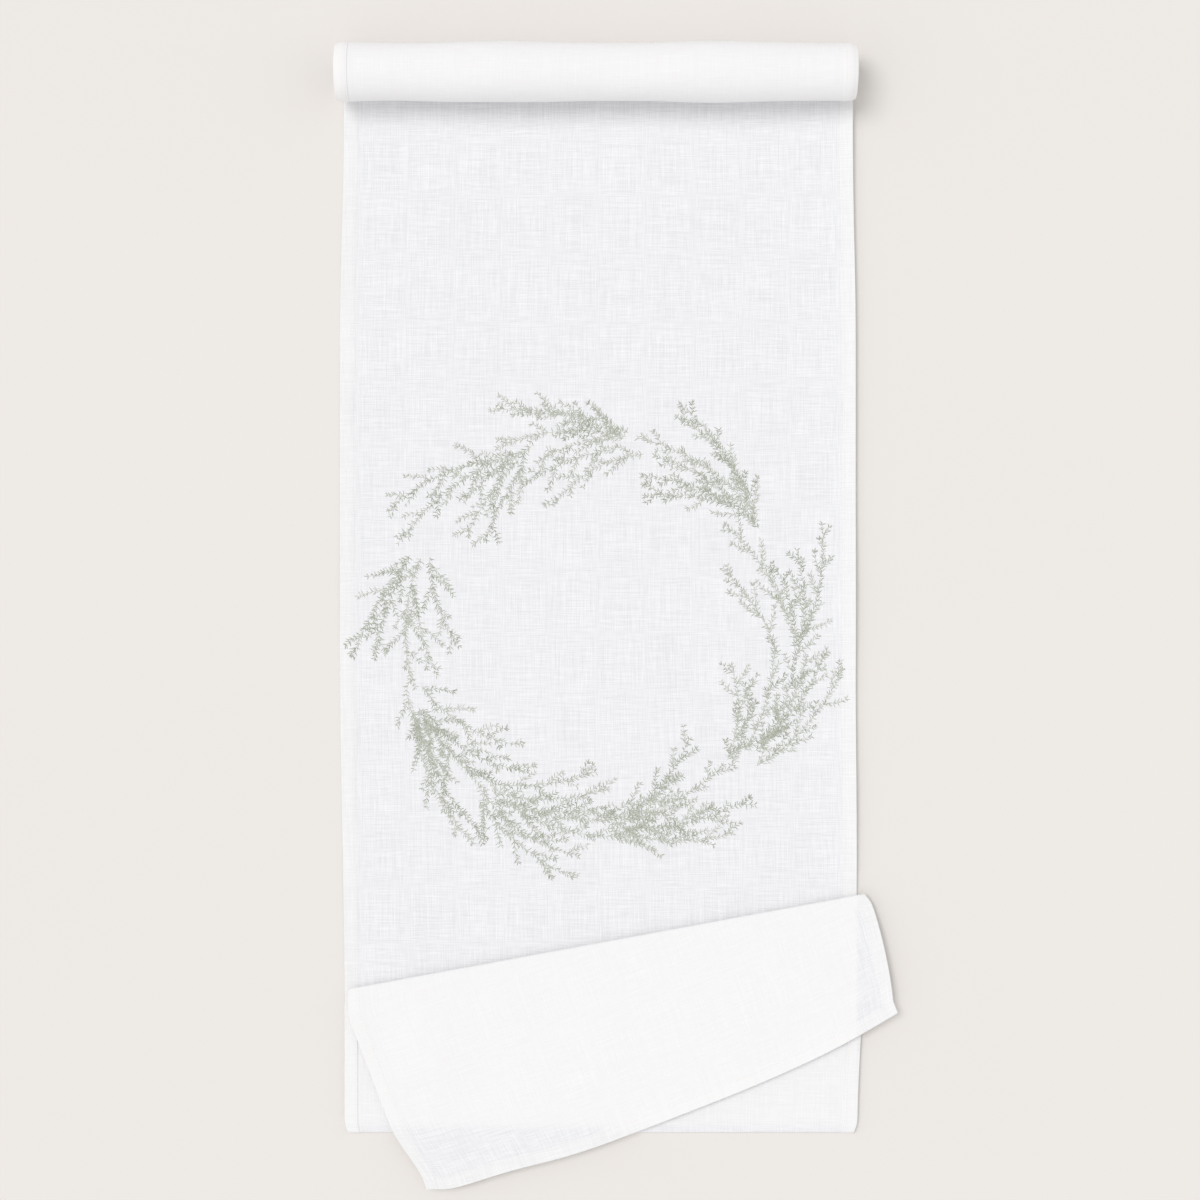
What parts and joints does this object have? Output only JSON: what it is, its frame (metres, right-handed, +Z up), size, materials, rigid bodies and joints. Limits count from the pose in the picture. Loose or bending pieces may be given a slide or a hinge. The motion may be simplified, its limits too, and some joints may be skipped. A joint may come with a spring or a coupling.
{
  "type": "table runner",
  "caption": "Thin linen table runner with hemmed edges and a printed leaf wreath, rolled up at one end and folded in a Z at the other.",
  "frame": {"origin": "centre of the runner's cut size, on the table, on the wrong side of the flat centre panel", "axes": "+X across the runner, +Y along it towards the roll, +Z up from the table, out of the printed face"},
  "size_m": [0.4851, 0.994, 0.0563],
  "materials": {
    "linen_face": "matt, half sheer plain weave with slubs",
    "linen_back": "matt plain weave, wrong side",
    "hem": "matt plain weave, three plies pressed flat",
    "thread": "white sewing thread",
    "print": "sage green textile ink, soaked into the weave"
  },
  "bodies": {
    "centre": {"centre_left_hem": "hem", "centre_left_stitching": "thread", "centre_panel": "linen_face", "centre_right_hem": "hem", "centre_right_stitching": "thread"},
    "bottom_bend": {"bottom_bend": "linen_face"},
    "middle": {"middle_left_hem": "hem", "middle_left_stitching": "thread", "middle_panel": "linen_back", "middle_right_hem": "hem", "middle_right_stitching": "thread"},
    "flap_bend": {"flap_bend": "linen_face"},
    "flap": {"flap_end_hem": "hem", "flap_end_stitching": "thread", "flap_left_hem": "hem", "flap_left_stitching": "thread", "flap_panel": "linen_face", "flap_right_hem": "hem", "flap_right_stitching": "thread"},
    "roll_end": {"roll_end_hem": "hem", "roll_end_stitching": "thread"},
    "roll_01": {"roll_01": "linen_back"},
    "roll_02": {"roll_02": "linen_back"},
    "roll_03": {"roll_03": "linen_back"},
    "roll_04": {"roll_04": "linen_back"},
    "roll_05": {"roll_05": "linen_back"},
    "roll_06": {"roll_06": "linen_back"},
    "roll_07": {"roll_07": "linen_back"},
    "roll_08": {"roll_08": "linen_back"},
    "roll_09": {"roll_09": "linen_back"},
    "roll_10": {"roll_10": "linen_back"},
    "roll_11": {"roll_11": "linen_back"},
    "roll_12": {"roll_12": "linen_back"},
    "roll_13": {"roll_13": "linen_back"},
    "roll_14": {"roll_14": "linen_back"},
    "roll_15": {"roll_15": "linen_back"},
    "roll_16": {"roll_16": "linen_back"},
    "roll_17": {"roll_17": "linen_back"},
    "roll_18": {"roll_18": "linen_back"},
    "roll_19": {"roll_19": "linen_back"}
  },
  "joints": [
    {"name": "bottom_fold", "type": "hinge", "parent": "centre", "child": "bottom_bend", "pos_m": [0, -0.438, 0.0004], "axis": [1, 0, 0], "range_deg": [0, 90]},
    {"name": "middle_fold", "type": "hinge", "parent": "bottom_bend", "child": "middle", "pos_m": [0, -0.438, 0.0039], "axis": [1, 0, 0], "range_deg": [0, 90]},
    {"name": "flap_bend_fold", "type": "hinge", "parent": "middle", "child": "flap_bend", "pos_m": [0, -0.2715, 0.0039], "axis": [-0.9834, -0.1814, 0], "range_deg": [0, 90]},
    {"name": "flap_fold", "type": "hinge", "parent": "flap_bend", "child": "flap", "pos_m": [0.00064, -0.27138, 0.0074], "axis": [-0.9834, -0.1814, 0], "range_deg": [0, 90]},
    {"name": "unroll", "type": "hinge", "parent": "centre", "child": "roll_01", "pos_m": [0, 0.49165, 0.0004], "axis": [-1, 0, 0], "range_deg": [0, 29.5]},
    {"name": "unroll_02", "type": "hinge", "parent": "roll_01", "child": "roll_02", "pos_m": [0, 0.5047, 0.00779], "axis": [-1, 0, 0], "range_deg": [0, 29.5]},
    {"name": "unroll_03", "type": "hinge", "parent": "roll_02", "child": "roll_03", "pos_m": [0, 0.51231, 0.02045], "axis": [-1, 0, 0], "range_deg": [0, 29.5]},
    {"name": "unroll_04", "type": "hinge", "parent": "roll_03", "child": "roll_04", "pos_m": [0, 0.51269, 0.03499], "axis": [-1, 0, 0], "range_deg": [0, 29.5]},
    {"name": "unroll_05", "type": "hinge", "parent": "roll_04", "child": "roll_05", "pos_m": [0, 0.50597, 0.04764], "axis": [-1, 0, 0], "range_deg": [0, 29.5]},
    {"name": "unroll_06", "type": "hinge", "parent": "roll_05", "child": "roll_06", "pos_m": [0, 0.49408, 0.05521], "axis": [-1, 0, 0], "range_deg": [0, 29.5]},
    {"name": "unroll_07", "type": "hinge", "parent": "roll_06", "child": "roll_07", "pos_m": [0, 0.48023, 0.05594], "axis": [-1, 0, 0], "range_deg": [0, 29.5]},
    {"name": "unroll_08", "type": "hinge", "parent": "roll_07", "child": "roll_08", "pos_m": [0, 0.46802, 0.04985], "axis": [-1, 0, 0], "range_deg": [0, 29.5]},
    {"name": "unroll_09", "type": "hinge", "parent": "roll_08", "child": "roll_09", "pos_m": [0, 0.46051, 0.03873], "axis": [-1, 0, 0], "range_deg": [0, 29.5]},
    {"name": "unroll_10", "type": "hinge", "parent": "roll_09", "child": "roll_10", "pos_m": [0, 0.45948, 0.02558], "axis": [-1, 0, 0], "range_deg": [0, 29.5]},
    {"name": "unroll_11", "type": "hinge", "parent": "roll_10", "child": "roll_11", "pos_m": [0, 0.46496, 0.01382], "axis": [-1, 0, 0], "range_deg": [0, 29.5]},
    {"name": "unroll_12", "type": "hinge", "parent": "roll_11", "child": "roll_12", "pos_m": [0, 0.47533, 0.00643], "axis": [-1, 0, 0], "range_deg": [0, 29.5]},
    {"name": "unroll_13", "type": "hinge", "parent": "roll_12", "child": "roll_13", "pos_m": [0, 0.48778, 0.00512], "axis": [-1, 0, 0], "range_deg": [0, 29.5]},
    {"name": "unroll_14", "type": "hinge", "parent": "roll_13", "child": "roll_14", "pos_m": [0, 0.49905, 0.01002], "axis": [-1, 0, 0], "range_deg": [0, 29.5]},
    {"name": "unroll_15", "type": "hinge", "parent": "roll_14", "child": "roll_15", "pos_m": [0, 0.5063, 0.01965], "axis": [-1, 0, 0], "range_deg": [0, 29.5]},
    {"name": "unroll_16", "type": "hinge", "parent": "roll_15", "child": "roll_16", "pos_m": [0, 0.50785, 0.03139], "axis": [-1, 0, 0], "range_deg": [0, 29.5]},
    {"name": "unroll_17", "type": "hinge", "parent": "roll_16", "child": "roll_17", "pos_m": [0, 0.5035, 0.04215], "axis": [-1, 0, 0], "range_deg": [0, 29.5]},
    {"name": "unroll_18", "type": "hinge", "parent": "roll_17", "child": "roll_18", "pos_m": [0, 0.49459, 0.04924], "axis": [-1, 0, 0], "range_deg": [0, 29.5]},
    {"name": "unroll_19", "type": "hinge", "parent": "roll_18", "child": "roll_19", "pos_m": [0, 0.48357, 0.05098], "axis": [-1, 0, 0], "range_deg": [0, 29.5]},
    {"name": "unroll_end", "type": "hinge", "parent": "roll_19", "child": "roll_end", "pos_m": [0, 0.47333, 0.04715], "axis": [-1, 0, 0], "range_deg": [0, 29.5]}
  ],
  "couplings": [
    {"joint": "middle_fold", "follows": "bottom_fold", "ratio": 1},
    {"joint": "flap_bend_fold", "follows": "bottom_fold", "ratio": 1},
    {"joint": "flap_fold", "follows": "bottom_fold", "ratio": 1},
    {"joint": "unroll_02", "follows": "unroll", "ratio": 1},
    {"joint": "unroll_03", "follows": "unroll", "ratio": 1},
    {"joint": "unroll_04", "follows": "unroll", "ratio": 1},
    {"joint": "unroll_05", "follows": "unroll", "ratio": 1},
    {"joint": "unroll_06", "follows": "unroll", "ratio": 1},
    {"joint": "unroll_07", "follows": "unroll", "ratio": 1},
    {"joint": "unroll_08", "follows": "unroll", "ratio": 1},
    {"joint": "unroll_09", "follows": "unroll", "ratio": 1},
    {"joint": "unroll_10", "follows": "unroll", "ratio": 1},
    {"joint": "unroll_11", "follows": "unroll", "ratio": 1},
    {"joint": "unroll_12", "follows": "unroll", "ratio": 1},
    {"joint": "unroll_13", "follows": "unroll", "ratio": 1},
    {"joint": "unroll_14", "follows": "unroll", "ratio": 1},
    {"joint": "unroll_15", "follows": "unroll", "ratio": 1},
    {"joint": "unroll_16", "follows": "unroll", "ratio": 1},
    {"joint": "unroll_17", "follows": "unroll", "ratio": 1},
    {"joint": "unroll_18", "follows": "unroll", "ratio": 1},
    {"joint": "unroll_19", "follows": "unroll", "ratio": 1},
    {"joint": "unroll_end", "follows": "unroll", "ratio": 1}
  ]
}
